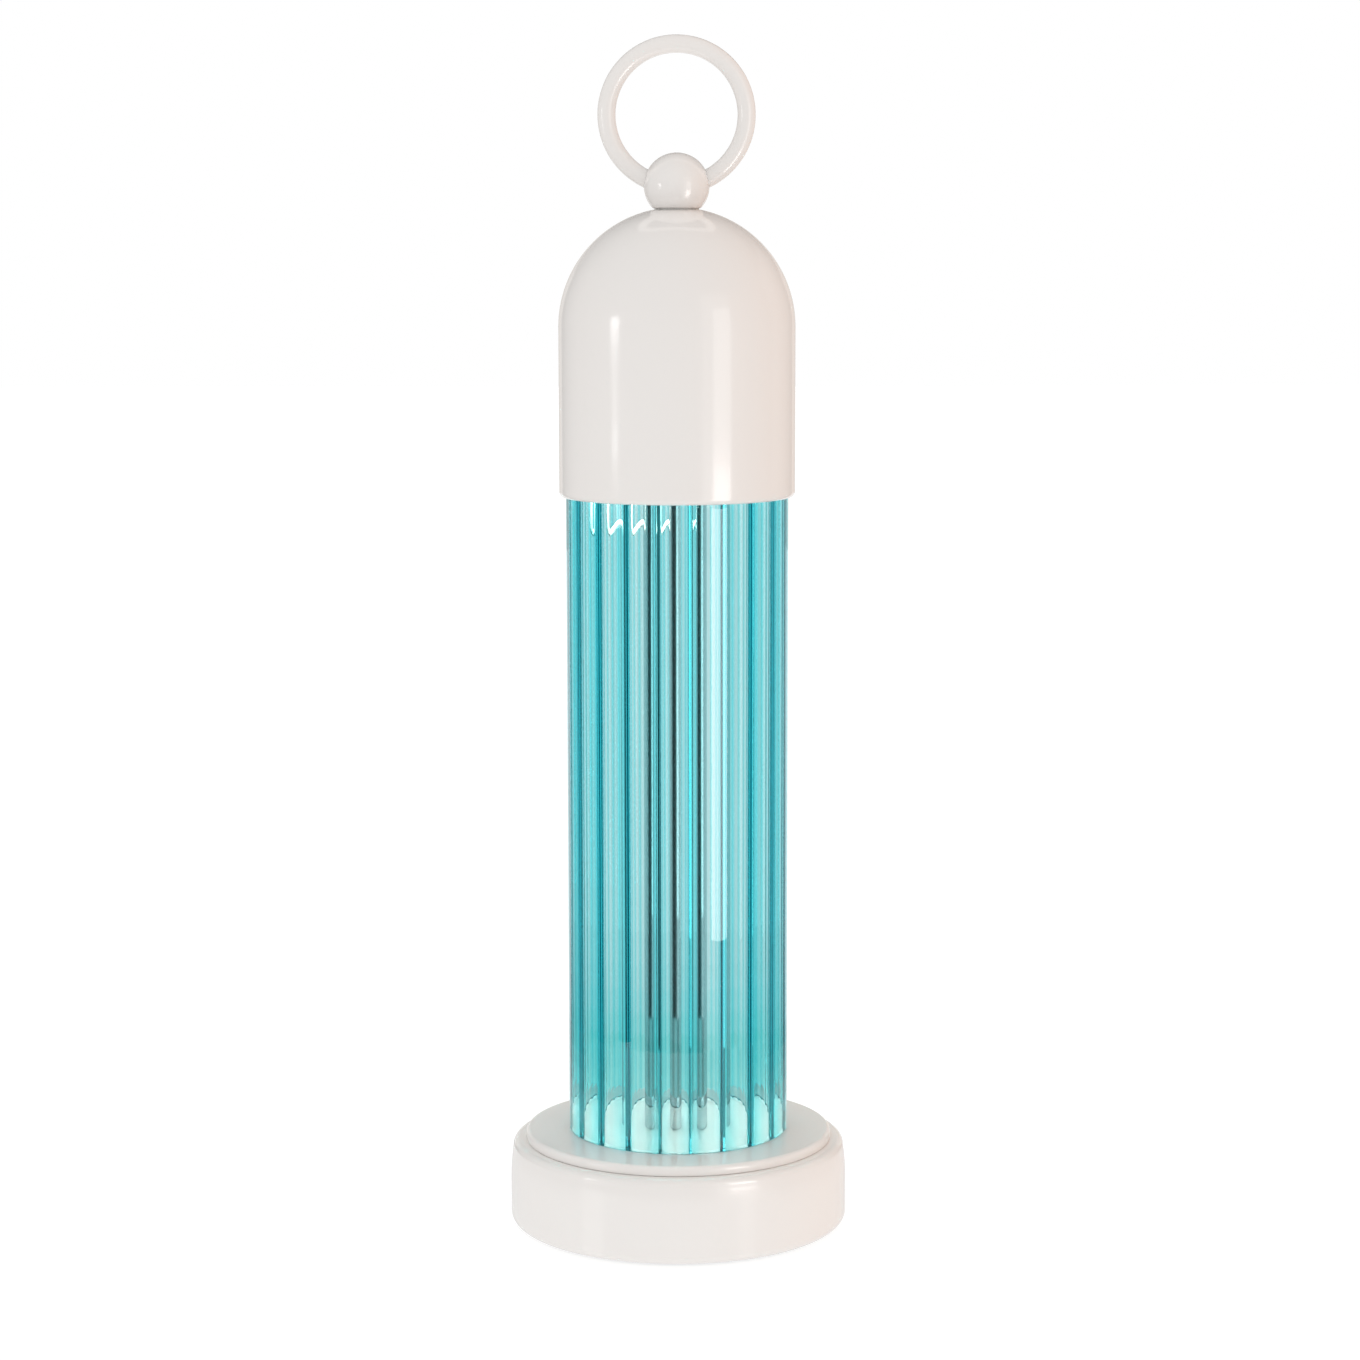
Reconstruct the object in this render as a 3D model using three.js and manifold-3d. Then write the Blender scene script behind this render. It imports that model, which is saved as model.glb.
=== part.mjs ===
// A cordless lantern lamp: a round weighted base with the battery and the controls in it, a closed glass
// column, fluted on its inside, round a polished stem, and a domed cap with a ball and a carrying ring.
// The light engine sits under the dome, on top of the column, and shines down through it.
//
// Units are millimetres. +Z is up, z = 0 is the surface that the lamp stands on, and its axis is x = y = 0.
// The controls face +Y, which is the back of the lamp.

import * as THREE from "three";
import { mergeVertices } from "three/addons/utils/BufferGeometryUtils.js";
import Module from "manifold-3d";

const wasm = await Module();
wasm.setup();

// ---------------------------------------------------------------------------------------------------------
// Driving dimensions
// ---------------------------------------------------------------------------------------------------------

const SEAT = 0.05; // clearance between two faces that rest on each other
const ROUND = 48; // segments of a large turned piece
const SMALL_ROUND = 20; // segments of a small turned piece

const DRUM = {
  r: 54.3, z0: 1, top: 28.2, wall: 2.4, roof: 2.6,
  lipR: 49.6, lipTop: 5.3, toe: 3.2, shoulder: 2.4,
};
DRUM.inR = DRUM.r - DRUM.wall;
DRUM.inTop = DRUM.top - DRUM.roof;
DRUM.leanFrom = 15; // above this height the side leans in a little
DRUM.lean = 0.8;

const PLATE = { r: 49.4, z0: DRUM.top + SEAT, top: 31.3, edge: 1.6 };
const BALLAST = { r: 49.2, z0: 2.2, z1: 5.2 };
const FOOT = { r: 5.5, ringR: 42, count: 4, top: BALLAST.z0 - SEAT };
const COVER_SCREW = { ringR: 41, count: 3, headR: 2.8, headH: 1.6, shankR: 1.2, tip: 14, holeR: 1.6 };
const BOSS = { r: 3.6, coreR: 1.35, coreTop: 17 };

const PIPE = { r: 4, boreR: 3, z0: 16, z1: 335.6, slotZ0: 264, slotZ1: 270, slotW: 3 };
const PIPE_HOLE_R = 4.3;
const NUT = { flats: 13, h: 4.7, boreR: 4.12 };
const WASHER = { r: 8, h: 1 };

const COLUMN = { r: 35.25, ridgeR: 32.15, fluteR: 34.6, flutes: 19, turn: -1.7, z0: PLATE.top + 2 * SEAT, z1: 247 };
const GASKET = { inR: 31.6, outR: 34.6, depth: 1.2 };
const SLEEVE = { r: 6.5, boreR: 4.3, z0: PLATE.top + SEAT, z1: 247.75 };

const CARRIER = {
  r: 34.6, z0: 247.8, flange: 3, spigotR: 30.6, spigotInR: 28.6, spigotZ0: 242.2,
  hubR: 11, hubH: 6, fins: 10, finInR: 13, finOutR: 33, finW: 1.6, finH: 8, leadHoleR: 1.6, leadHoleX: 16,
};
CARRIER.flangeTop = CARRIER.z0 + CARRIER.flange;
CARRIER.hubTop = CARRIER.flangeTop + CARRIER.hubH;
const LED_BOARD = { inR: 7, r: 28, h: 1.6 };
const LED = { count: 6, ringR: 17, side: 5, h: 1.4 };
const DIFFUSER = { inR: 7, r: 28.3, z0: 242.4, h: 1.5 };

const DOME = {
  r: 37.35, wall: 1.2, z0: 236.1, centreZ: 289.6,
  landR: 7.5, holeR: 4.4, rimR: 35.6, rim: 1.8,
};
DOME.inR = DOME.r - DOME.wall;
DOME.landZ = DOME.centreZ + Math.sqrt(DOME.r ** 2 - DOME.landR ** 2);

const FINIAL_WASHER = { inR: 4.3, r: 7, h: 0.3 };
const BALL = { r: 10.3, centreZ: 333.6, boreR: 4.08, boreTop: 336.2 };
BALL.z0 = DOME.landZ + FINIAL_WASHER.h + 2 * SEAT;
const RING = { r: 21.9, rodR: 2.83, socketR: 2.98, endAngle: 15, socketAngle: 13.5 };
RING.centreZ = BALL.centreZ + RING.r;

const CELL = { r: 9.15, length: 65, x: 19.5, z: 14.5 };
const TRAY = { halfX: 30, wall: 2, inY: 33.4, z0: 5.4, z1: 17, web: 2, webHalfX: 9.5, notchHalfX: 7 };
const TAB = { t: 0.4, gap: 0.1 };
const LEAD = { r: 0.7, sides: 6 };
const FEED_LEAD = { r: 1, sides: 10 };

// The rear controls, seen from behind: x to the right, y up from CONTROLS_Z, and z outwards, the lamp's +Y.
const CONTROLS_Z = 15.5;
const PANEL = {
  w: 34, h: 13, corner: 2, z0: 48.2, z1: 51.2,
  rimW: 36, rimH: 16.4, pocketW: 30, pocketH: 11.6, rimZ0: 46.2,
};
const WINDOW_GAP = 0.3; // between the panel and the drum's window
const BOARD = { w: 35, h: 15, z0: 40, z1: 41.6 };
const POST = { x: 16.3, r: 1.6, holeR: 0.85, holeTop: 45.6 };
const BOARD_SCREW = { r: 0.75, tip: 45, headR: 1.5, headH: 1 };
const USB = {
  x: -9, w: 8.94, h: 3.26, wall: 0.3, z1: 50.4, back: 0.8, gap: 0.25,
  tongueW: 6.7, tongueH: 0.7, tongueZ: 48.9,
};
const BUTTON = {
  x: 8, r: 4.3, holeR: 4.5, top: 52.1, edge: 0.7,
  flangeR: 5.3, flangeZ0: 47, flangeZ1: 48.05, stemR: 1.5, stemZ0: 46.3,
};
const TACT = {
  side: 6, z1: 45.1, holeR: 1.85, holeZ0: 43.2,
  plungerR: 1.7, plungerZ0: 44.2, plungerZ1: 46.2,
};
const LIGHT_PIPE = { r: 1, holeR: 1.1 };

// ---------------------------------------------------------------------------------------------------------
// Materials
// ---------------------------------------------------------------------------------------------------------

const finish = (color, roughness, metalness = 0, extra = {}) =>
  new THREE.MeshStandardMaterial({ color, roughness, metalness, ...extra });

const MATERIALS = {
  lacquer: finish(0xe9e4df, 0.18, 0.1),
  glass: finish(0x7fd3d6, 0.04, 0, { transparent: true, opacity: 0.45 }),
  steel: finish(0xc9cccd, 0.12, 1),
  zinc: finish(0xa9adaf, 0.4, 1),
  aluminium: finish(0xb9bcbe, 0.35, 1),
  silicone: finish(0xd9dcd8, 0.7),
  rubber: finish(0x2b2b2d, 0.85),
  panelPlastic: finish(0xded8d2, 0.4),
  blackPlastic: finish(0x232427, 0.5),
  boardGreen: finish(0x1f5a3c, 0.45),
  boardWhite: finish(0xf0f0ec, 0.5),
  phosphor: finish(0xf2dd7c, 0.5),
  diffuser: finish(0xf4f4f0, 0.6),
  nickel: finish(0xbfc0ba, 0.25, 1),
  cellWrap: finish(0x2f6aa8, 0.45),
  leadRed: finish(0xa62a25, 0.5),
  leadBlack: finish(0x1c1c1e, 0.5),
  nylon: finish(0xecebe6, 0.5),
  paintedSteel: finish(0x3b3c3e, 0.5, 0.6),
};

// ---------------------------------------------------------------------------------------------------------
// Solids: turning, extruding, joining and cutting
// ---------------------------------------------------------------------------------------------------------

const point = (x, y) => new THREE.Vector2(x, y);
const radians = THREE.MathUtils.degToRad;

// A closed geometry as a manifold-3d solid. Triangles that collapse, as at a lathe's poles, are dropped.
function solidOf(geometry) {
  const bare = geometry.index ? geometry.toNonIndexed() : geometry;
  const points = new THREE.BufferGeometry().setAttribute("position", bare.getAttribute("position"));
  const welded = mergeVertices(points, 1e-4);
  const index = welded.index.array;
  const kept = [];
  for (let i = 0; i < index.length; i += 3) {
    const [a, b, c] = index.subarray(i, i + 3);
    if (a !== b && b !== c && c !== a) kept.push(a, b, c);
  }
  const vertProperties = welded.getAttribute("position").array;
  return new wasm.Manifold(new wasm.Mesh({ numProp: 3, vertProperties, triVerts: new Uint32Array(kept) }));
}

function geometryOf(solid) {
  const { vertProperties, triVerts, numProp, numVert } = solid.getMesh();
  const positions = new Float32Array(numVert * 3);
  for (let i = 0; i < numVert; i++) {
    positions.set(vertProperties.subarray(i * numProp, i * numProp + 3), i * 3);
  }
  const geometry = new THREE.BufferGeometry();
  geometry.setAttribute("position", new THREE.BufferAttribute(positions, 3));
  geometry.setIndex(new THREE.BufferAttribute(triVerts, 1));
  geometry.computeVertexNormals();
  return geometry;
}

const join = (first, ...rest) => rest.reduce((sum, solid) => sum.add(solid), first);
const cut = (body, ...tools) => tools.reduce((left, tool) => left.subtract(tool), body);
const moved = (geometry, x, y, z) => geometry.translate(x, y, z);

// A profile of (radius, height), turned round Z. It runs up its outer side and closes on itself or the axis.
function turned(profile, segments = ROUND) {
  const closed = profile[0].x === 0 ? profile : [...profile, profile[0]];
  return solidOf(new THREE.LatheGeometry(closed, segments).rotateX(Math.PI / 2));
}

const disc = (r, z0, z1, segments = SMALL_ROUND) =>
  turned([point(0, z0), point(r, z0), point(r, z1), point(0, z1)], segments);

const tube = (inR, r, z0, z1, segments = SMALL_ROUND) =>
  turned([point(inR, z0), point(r, z0), point(r, z1), point(inR, z1)], segments);

const block = (w, d, h, x, y, z) => solidOf(moved(new THREE.BoxGeometry(w, d, h), x, y, z));

// A disc or a box with its centre somewhere off the axis.
const placed = (solid, x, y, z = 0) => solid.translate([x, y, z]);

// An outline in X and Y, with holes, drawn out from z0 to z1.
function prism(outline, holes, z0, z1, curveSegments = 6) {
  outline.holes.push(...holes);
  const options = { depth: z1 - z0, bevelEnabled: false, curveSegments };
  const geometry = new THREE.ExtrudeGeometry(outline, options);
  return solidOf(moved(geometry, 0, 0, z0));
}

function roundedRect(w, h, corner, x = 0, y = 0) {
  const shape = new THREE.Shape();
  const [left, right, low, high] = [x - w / 2, x + w / 2, y - h / 2, y + h / 2];
  shape.moveTo(left + corner, low);
  shape.absarc(right - corner, low + corner, corner, -Math.PI / 2, 0);
  shape.absarc(right - corner, high - corner, corner, 0, Math.PI / 2);
  shape.absarc(left + corner, high - corner, corner, Math.PI / 2, Math.PI);
  shape.absarc(left + corner, low + corner, corner, Math.PI, 1.5 * Math.PI);
  return shape;
}

function circle(r, segments, x = 0, y = 0) {
  const turn = (2 * Math.PI) / segments;
  const angles = Array.from({ length: segments }, (_, i) => i * turn);
  return new THREE.Path(angles.map((a) => point(x + r * Math.cos(a), y + r * Math.sin(a))));
}

// Points on an arc from one angle to another, in degrees, both ends included.
function arc(cx, cy, r, from, to, steps) {
  return Array.from({ length: steps + 1 }, (_, i) => {
    const angle = radians(from + ((to - from) * i) / steps);
    return point(cx + r * Math.cos(angle), cy + r * Math.sin(angle));
  });
}

// A round rod along a curve.
function rod(path, r, steps, sides) {
  const section = new THREE.Shape(circle(r, sides).getPoints());
  return solidOf(new THREE.ExtrudeGeometry(section, { steps, extrudePath: path, bevelEnabled: false }));
}

// The places of count things on a circle, in degrees from +X.
const around = (count, ringR, firstAngle) =>
  Array.from({ length: count }, (_, i) => {
    const angle = radians(firstAngle + (360 * i) / count);
    return [ringR * Math.cos(angle), ringR * Math.sin(angle)];
  });

function hexNut(z0) {
  const corner = NUT.flats / Math.sqrt(3);
  const outline = new THREE.Shape(circle(corner, 6).getPoints());
  return prism(outline, [circle(NUT.boreR, SMALL_ROUND)], z0, z0 + NUT.h);
}

const flatWasher = (z0) => tube(PIPE_HOLE_R, WASHER.r, z0, z0 + WASHER.h);

// ---------------------------------------------------------------------------------------------------------
// The lamp, as a group of named meshes
// ---------------------------------------------------------------------------------------------------------

const lamp = new THREE.Group();
const controls = new THREE.Group(); // its own x, y and z are those of the rear controls
controls.rotation.set(Math.PI / 2, 0, Math.PI, "ZYX");
controls.position.z = CONTROLS_Z;
lamp.add(controls);

function add(name, solid, material, group = lamp) {
  const mesh = new THREE.Mesh(geometryOf(solid), MATERIALS[material]);
  mesh.name = name;
  group.add(mesh);
  return mesh;
}

// --- Base: drum, top plate, ballast plate, feet and screws --------------------------------------------

const screwPlaces = around(COVER_SCREW.count, COVER_SCREW.ringR, -90);

function baseDrum() {
  const toeR = DRUM.r - DRUM.toe;
  const side = Array.from({ length: 5 }, (_, i) => {
    const share = i / 4;
    const z = DRUM.leanFrom + share * (DRUM.top - DRUM.shoulder - DRUM.leanFrom);
    return point(DRUM.r - DRUM.lean * share ** 2, z);
  });
  const shoulderR = DRUM.r - DRUM.lean - DRUM.shoulder;
  const shell = turned([
    point(DRUM.lipR, DRUM.z0),
    ...arc(toeR, DRUM.z0 + DRUM.toe, DRUM.toe, -90, 0, 4),
    ...side,
    ...arc(shoulderR, DRUM.top - DRUM.shoulder, DRUM.shoulder, 30, 90, 2),
    point(PIPE_HOLE_R, DRUM.top),
    point(PIPE_HOLE_R, DRUM.inTop),
    point(DRUM.inR - 1, DRUM.inTop),
    point(DRUM.inR, DRUM.inTop - 1),
    point(DRUM.inR, DRUM.lipTop),
    point(DRUM.lipR, DRUM.lipTop),
  ]);
  const bosses = screwPlaces.map(([x, y]) => placed(disc(BOSS.r, DRUM.lipTop, DRUM.inTop + 1, 16), x, y));
  const cores = screwPlaces.map(([x, y]) => placed(disc(BOSS.coreR, 0, BOSS.coreTop, 12), x, y));
  const windowW = PANEL.w + 2 * WINDOW_GAP;
  const windowH = PANEL.h + 2 * WINDOW_GAP;
  const window = block(windowW, 16, windowH, 0, DRUM.r - 2, CONTROLS_Z);
  return cut(join(shell, ...bosses), ...cores, window);
}
add("base_drum", baseDrum(), "lacquer");

function topPlate() {
  const seatZ = PLATE.top - GASKET.depth;
  return turned([
    point(PIPE_HOLE_R, PLATE.z0),
    point(PLATE.r, PLATE.z0),
    ...arc(PLATE.r - PLATE.edge, PLATE.top - PLATE.edge, PLATE.edge, 0, 90, 3),
    point(GASKET.outR + SEAT, PLATE.top),
    point(GASKET.outR + SEAT, seatZ),
    point(GASKET.inR - SEAT, seatZ),
    point(GASKET.inR - SEAT, PLATE.top),
    point(PIPE_HOLE_R, PLATE.top),
  ]);
}
add("top_plate", topPlate(), "lacquer");

const ballastHoles = screwPlaces.map(([x, y]) => placed(disc(COVER_SCREW.holeR, 0, 10, 12), x, y));
add("ballast_plate", cut(disc(BALLAST.r, BALLAST.z0, BALLAST.z1, ROUND), ...ballastHoles), "paintedSteel");

around(FOOT.count, FOOT.ringR, 45).forEach(([x, y], i) =>
  add(`foot_pad_${i + 1}`, placed(disc(FOOT.r, 0, FOOT.top), x, y), "rubber"),
);

function coverScrew() {
  const headTop = BALLAST.z0 - SEAT;
  const slot = block(2 * COVER_SCREW.headR, 0.7, 0.8, 0, 0, headTop - COVER_SCREW.headH + 0.3);
  const slotAcross = block(0.7, 2 * COVER_SCREW.headR, 0.8, 0, 0, headTop - COVER_SCREW.headH + 0.3);
  const head = disc(COVER_SCREW.headR, headTop - COVER_SCREW.headH, headTop, 16);
  return join(cut(head, slot, slotAcross), disc(COVER_SCREW.shankR, headTop - 0.4, COVER_SCREW.tip, 12));
}
screwPlaces.forEach(([x, y], i) => add(`cover_screw_${i + 1}`, placed(coverScrew(), x, y), "zinc"));

// --- Battery: two cells in a tray, the strips that join them, and the leads to the board --------------

function cellTray() {
  const height = TRAY.z1 - TRAY.z0;
  const midZ = (TRAY.z0 + TRAY.z1) / 2;
  const wallY = TRAY.inY + TRAY.wall / 2;
  const web = block(2 * TRAY.webHalfX, 2 * TRAY.inY + 1, TRAY.web, 0, 0, TRAY.z0 + TRAY.web / 2);
  const walls = [-wallY, wallY].map((y) => block(2 * TRAY.halfX, TRAY.wall, height, 0, y, midZ));
  const notch = block(2 * TRAY.notchHalfX, 8, height, 0, wallY, midZ + TRAY.web);
  return cut(join(web, ...walls), notch);
}
add("cell_tray", cellTray(), "blackPlastic");

for (const [side, x] of [["left", -CELL.x], ["right", CELL.x]]) {
  const cell = disc(CELL.r, -CELL.length / 2, CELL.length / 2);
  add(`cell_${side}`, placed(cell.rotate([90, 0, 0]), x, 0, CELL.z), "cellWrap");
  const tabY = CELL.length / 2 + TAB.gap + TAB.t / 2;
  add(`terminal_${side}`, block(10, TAB.t, 11, x, tabY, CELL.z + 1), "nickel");
  const from = new THREE.Vector3(x, CELL.length / 2 + TAB.gap + TAB.t + LEAD.r + 0.1, CELL.z + 4);
  const over = new THREE.Vector3(x * 0.85, TRAY.inY + 2, TRAY.z1 + 2.2);
  const to = new THREE.Vector3(x * 0.7, BOARD.z0 - 0.4, CONTROLS_Z + 4);
  const path = new THREE.QuadraticBezierCurve3(from, over, to);
  add(`battery_lead_${side}`, rod(path, LEAD.r, 6, LEAD.sides), side === "left" ? "leadBlack" : "leadRed");
}
const busY = -(CELL.length / 2 + TAB.gap + TAB.t / 2);
add("bus_strip", block(2 * CELL.x + 14, TAB.t, 10, 0, busY, CELL.z + 1), "nickel");

// --- Rear controls: panel, board, charging socket, power button and charge light ----------------------

function controlPanel() {
  const usbSlot = roundedRect(USB.w + 2 * USB.gap, USB.h + 2 * USB.gap, USB.h / 2, USB.x, 0);
  const holes = [usbSlot, circle(BUTTON.holeR, SMALL_ROUND, BUTTON.x, 0), circle(LIGHT_PIPE.holeR, 12)];
  const face = prism(roundedRect(PANEL.w, PANEL.h, PANEL.corner), holes, PANEL.z0, PANEL.z1);
  const pocket = roundedRect(PANEL.pocketW, PANEL.pocketH, 1);
  const rimOutline = roundedRect(PANEL.rimW, PANEL.rimH, PANEL.corner);
  const rim = prism(rimOutline, [pocket], PANEL.rimZ0, PANEL.z0 + 0.3, 3);
  const post = disc(POST.r, BOARD.z1 + SEAT, PANEL.rimZ0 + 0.5, 12);
  const posts = [-POST.x, POST.x].map((x) => placed(post, x, 0));
  const core = disc(POST.holeR, BOARD.z1 - 1, POST.holeTop, 10);
  const cores = [-POST.x, POST.x].map((x) => placed(core, x, 0));
  return cut(join(face, rim, ...posts), ...cores);
}
add("control_panel", controlPanel(), "panelPlastic", controls);

const boardHoles = [-POST.x, POST.x].map((x) => circle(POST.holeR + 0.1, 10, x, 0));
const board = prism(roundedRect(BOARD.w, BOARD.h, 1), boardHoles, BOARD.z0, BOARD.z1, 2);
add("control_board", board, "boardGreen", controls);

for (const [side, x] of [["left", POST.x], ["right", -POST.x]]) {
  const headZ = BOARD.z0 - SEAT;
  const screw = join(
    disc(BOARD_SCREW.headR, headZ - BOARD_SCREW.headH, headZ, 12),
    disc(BOARD_SCREW.r, headZ - 0.2, BOARD_SCREW.tip, 10),
  );
  add(`board_screw_${side}`, placed(screw, x, 0), "zinc", controls);
}

function usbSocket() {
  const z0 = BOARD.z1 + SEAT;
  const corner = USB.h / 2 - 0.01;
  const outline = roundedRect(USB.w, USB.h, corner, USB.x, 0);
  const bore = roundedRect(USB.w - 2 * USB.wall, USB.h - 2 * USB.wall, corner - USB.wall, USB.x, 0);
  const shell = cut(prism(outline, [], z0, USB.z1, 3), prism(bore, [], z0 + USB.back, USB.z1 + 1, 3));
  const length = USB.tongueZ - z0;
  return join(shell, block(USB.tongueW, USB.tongueH, length, USB.x, 0, z0 + length / 2));
}
add("usb_c_socket", usbSocket(), "nickel", controls);

function tactSwitch() {
  const z0 = BOARD.z1 + SEAT;
  const body = block(TACT.side, TACT.side, TACT.z1 - z0, BUTTON.x, 0, (TACT.z1 + z0) / 2);
  return cut(body, placed(disc(TACT.holeR, TACT.holeZ0, TACT.z1 + 1, 16), BUTTON.x, 0));
}
add("tact_switch", tactSwitch(), "blackPlastic", controls);
const plunger = disc(TACT.plungerR, TACT.plungerZ0, TACT.plungerZ1, 16);
add("switch_plunger", placed(plunger, BUTTON.x, 0), "blackPlastic", controls);

function powerButton() {
  const cap = turned([
    point(0, BUTTON.stemZ0),
    point(BUTTON.stemR, BUTTON.stemZ0),
    point(BUTTON.stemR, BUTTON.flangeZ0),
    point(BUTTON.flangeR, BUTTON.flangeZ0),
    point(BUTTON.flangeR, BUTTON.flangeZ1),
    point(BUTTON.r, BUTTON.flangeZ1),
    ...arc(BUTTON.r - BUTTON.edge, BUTTON.top - BUTTON.edge, BUTTON.edge, 0, 90, 2),
    point(0, BUTTON.top - 0.2),
  ], SMALL_ROUND);
  return placed(cap, BUTTON.x, 0);
}
add("power_button", powerButton(), "panelPlastic", controls);
add("charge_light", disc(LIGHT_PIPE.r, BOARD.z1 + 0.2, PANEL.z1 - 0.1, 12), "diffuser", controls);
add("driver_chip", block(5, 5, 1, -6, -2.5, BOARD.z0 - SEAT - 0.5), "blackPlastic", controls);
add("driver_inductor", block(6, 6, 2.8, 7, -3, BOARD.z0 - SEAT - 1.4), "zinc", controls);

// --- Stem: threaded pipe, polished sleeve and the nut under the drum's roof ---------------------------

function lampPipe() {
  const slotMidZ = (PIPE.slotZ0 + PIPE.slotZ1) / 2;
  const slot = block(2 * PIPE.r + 2, PIPE.slotW, PIPE.slotZ1 - PIPE.slotZ0, 0, 0, slotMidZ);
  return cut(tube(PIPE.boreR, PIPE.r, PIPE.z0, PIPE.z1), slot);
}
add("lamp_pipe", lampPipe(), "zinc");
add("stem_sleeve", tube(SLEEVE.boreR, SLEEVE.r, SLEEVE.z0, SLEEVE.z1, 32), "steel");

const lowerWasherZ = DRUM.inTop - SEAT - WASHER.h;
add("lower_washer", flatWasher(lowerWasherZ), "zinc");
add("lower_nut", hexNut(lowerWasherZ - SEAT - NUT.h), "zinc");

// --- Column: glass tube, smooth outside and fluted inside, between two gaskets ------------------------

// Each flute is one arc, hollowed out of the wall between the ridges on its two sides.
function flutedBore() {
  const pitch = (2 * Math.PI) / COLUMN.flutes;
  const halfChord = COLUMN.ridgeR * Math.sin(pitch / 2);
  const depth = COLUMN.fluteR - COLUMN.ridgeR * Math.cos(pitch / 2);
  const arcR = (halfChord ** 2 + depth ** 2) / (2 * depth);
  const halfArc = Math.asin(halfChord / arcR);
  const centreR = COLUMN.fluteR - arcR;
  const bore = new THREE.Path();
  for (let i = 0; i < COLUMN.flutes; i++) {
    const angle = i * pitch - Math.PI / 2 + THREE.MathUtils.degToRad(COLUMN.turn);
    const [x, y] = [centreR * Math.cos(angle), centreR * Math.sin(angle)];
    bore.absarc(x, y, arcR, angle - halfArc, angle + halfArc);
  }
  return bore;
}

const columnOutline = new THREE.Shape(circle(COLUMN.r, 80).getPoints());
add("fluted_column", prism(columnOutline, [flutedBore()], COLUMN.z0, COLUMN.z1, 3), "glass");

const lowerGasketZ = PLATE.top - GASKET.depth + SEAT;
const lowerGasket = tube(GASKET.inR, GASKET.outR, lowerGasketZ, COLUMN.z0 - SEAT, ROUND);
add("column_gasket_lower", lowerGasket, "silicone");
const upperGasket = tube(GASKET.inR, GASKET.outR, COLUMN.z1 + SEAT, CARRIER.z0 - SEAT, ROUND);
add("column_gasket_upper", upperGasket, "silicone");

// --- Light engine: finned carrier, board, LEDs and diffuser -------------------------------------------

function ledCarrier() {
  const body = turned([
    point(PIPE_HOLE_R, CARRIER.z0),
    point(CARRIER.spigotInR, CARRIER.z0),
    point(CARRIER.spigotInR, CARRIER.spigotZ0),
    point(CARRIER.spigotR, CARRIER.spigotZ0),
    point(CARRIER.spigotR, CARRIER.z0),
    point(CARRIER.r, CARRIER.z0),
    point(CARRIER.r, CARRIER.flangeTop),
    point(CARRIER.hubR, CARRIER.flangeTop),
    point(CARRIER.hubR, CARRIER.hubTop),
    point(PIPE_HOLE_R, CARRIER.hubTop),
  ]);
  const finLength = CARRIER.finOutR - CARRIER.finInR;
  const finMidR = (CARRIER.finOutR + CARRIER.finInR) / 2;
  const finMidZ = CARRIER.flangeTop + CARRIER.finH / 2 - 0.25;
  const fin = block(finLength, CARRIER.finW, CARRIER.finH + 0.5, finMidR, 0, finMidZ);
  const turn = 360 / CARRIER.fins;
  const fins = Array.from({ length: CARRIER.fins }, (_, i) => fin.rotate([0, 0, turn * (i + 0.5)]));
  const leadHole = disc(CARRIER.leadHoleR, 240, 255, 12);
  const leadHoles = [-1, 1].map((side) => placed(leadHole, side * CARRIER.leadHoleX, 0));
  return cut(join(body, ...fins), ...leadHoles);
}
add("led_carrier", ledCarrier(), "aluminium");

const ledBoardZ1 = CARRIER.z0 - SEAT;
const ledBoardZ0 = ledBoardZ1 - LED_BOARD.h;
add("led_board", tube(LED_BOARD.inR, LED_BOARD.r, ledBoardZ0, ledBoardZ1, 36), "boardWhite");
around(LED.count, LED.ringR, 30).forEach(([x, y], i) =>
  add(`led_${i + 1}`, block(LED.side, LED.side, LED.h, x, y, ledBoardZ0 - SEAT - LED.h / 2), "phosphor"),
);
add("diffuser", tube(DIFFUSER.inR, DIFFUSER.r, DIFFUSER.z0, DIFFUSER.z0 + DIFFUSER.h, 36), "diffuser");
add("carrier_washer", flatWasher(CARRIER.hubTop + SEAT), "zinc");
add("carrier_nut", hexNut(CARRIER.hubTop + 2 * SEAT + WASHER.h), "zinc");

// The two LED leads run from the control board between the cells, up inside the pipe, out of its slot and
// down through the carrier to the LED board.
for (const [side, sign] of [["left", -1], ["right", 1]]) {
  const turns = [
    [2.5, BOARD.z0 - 0.4, CONTROLS_Z + 1],
    [2.3, 34, 13.5],
    [1.6, 18, 9.6],
    [1.1, 4, 9.8],
    [1, 0, 15],
    [1, 0, 40],
    [1, 0, 130],
    [1, 0, 220],
    [1, 0, 260],
    [2.2, 0, 266.5],
    [6.5, 0, 269],
    [13, 0, 266],
    [CARRIER.leadHoleX, 0, 258],
    [CARRIER.leadHoleX, 0, 248.2],
  ].map(([x, y, z]) => new THREE.Vector3(sign * x, y, z));
  const path = new THREE.CatmullRomCurve3(turns, false, "centripetal");
  add(`led_lead_${side}`, rod(path, LEAD.r, 40, LEAD.sides), side === "left" ? "leadBlack" : "leadRed");
}

// A white lead comes out of the stem's left side, sags, and goes up to the diffuser.
const feedTurns = [
  [-6.6, 1.3, 227.6],
  [-9.5, 1.8, 227.2],
  [-13.8, 0.6, 225.7],
  [-17.6, -1.4, 224.7],
  [-19.4, -2.6, 225.9],
  [-19.8, -2.9, 229],
  [-19.8, -2.9, 235],
  [-19.8, -2.9, DIFFUSER.z0 - 2 * SEAT],
].map((turn) => new THREE.Vector3(...turn));
const feedPath = new THREE.CatmullRomCurve3(feedTurns, false, "centripetal");
add("feed_lead", rod(feedPath, FEED_LEAD.r, 32, FEED_LEAD.sides), "silicone");

// --- Dome: shell, lock nut and washer under it --------------------------------------------------------

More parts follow.
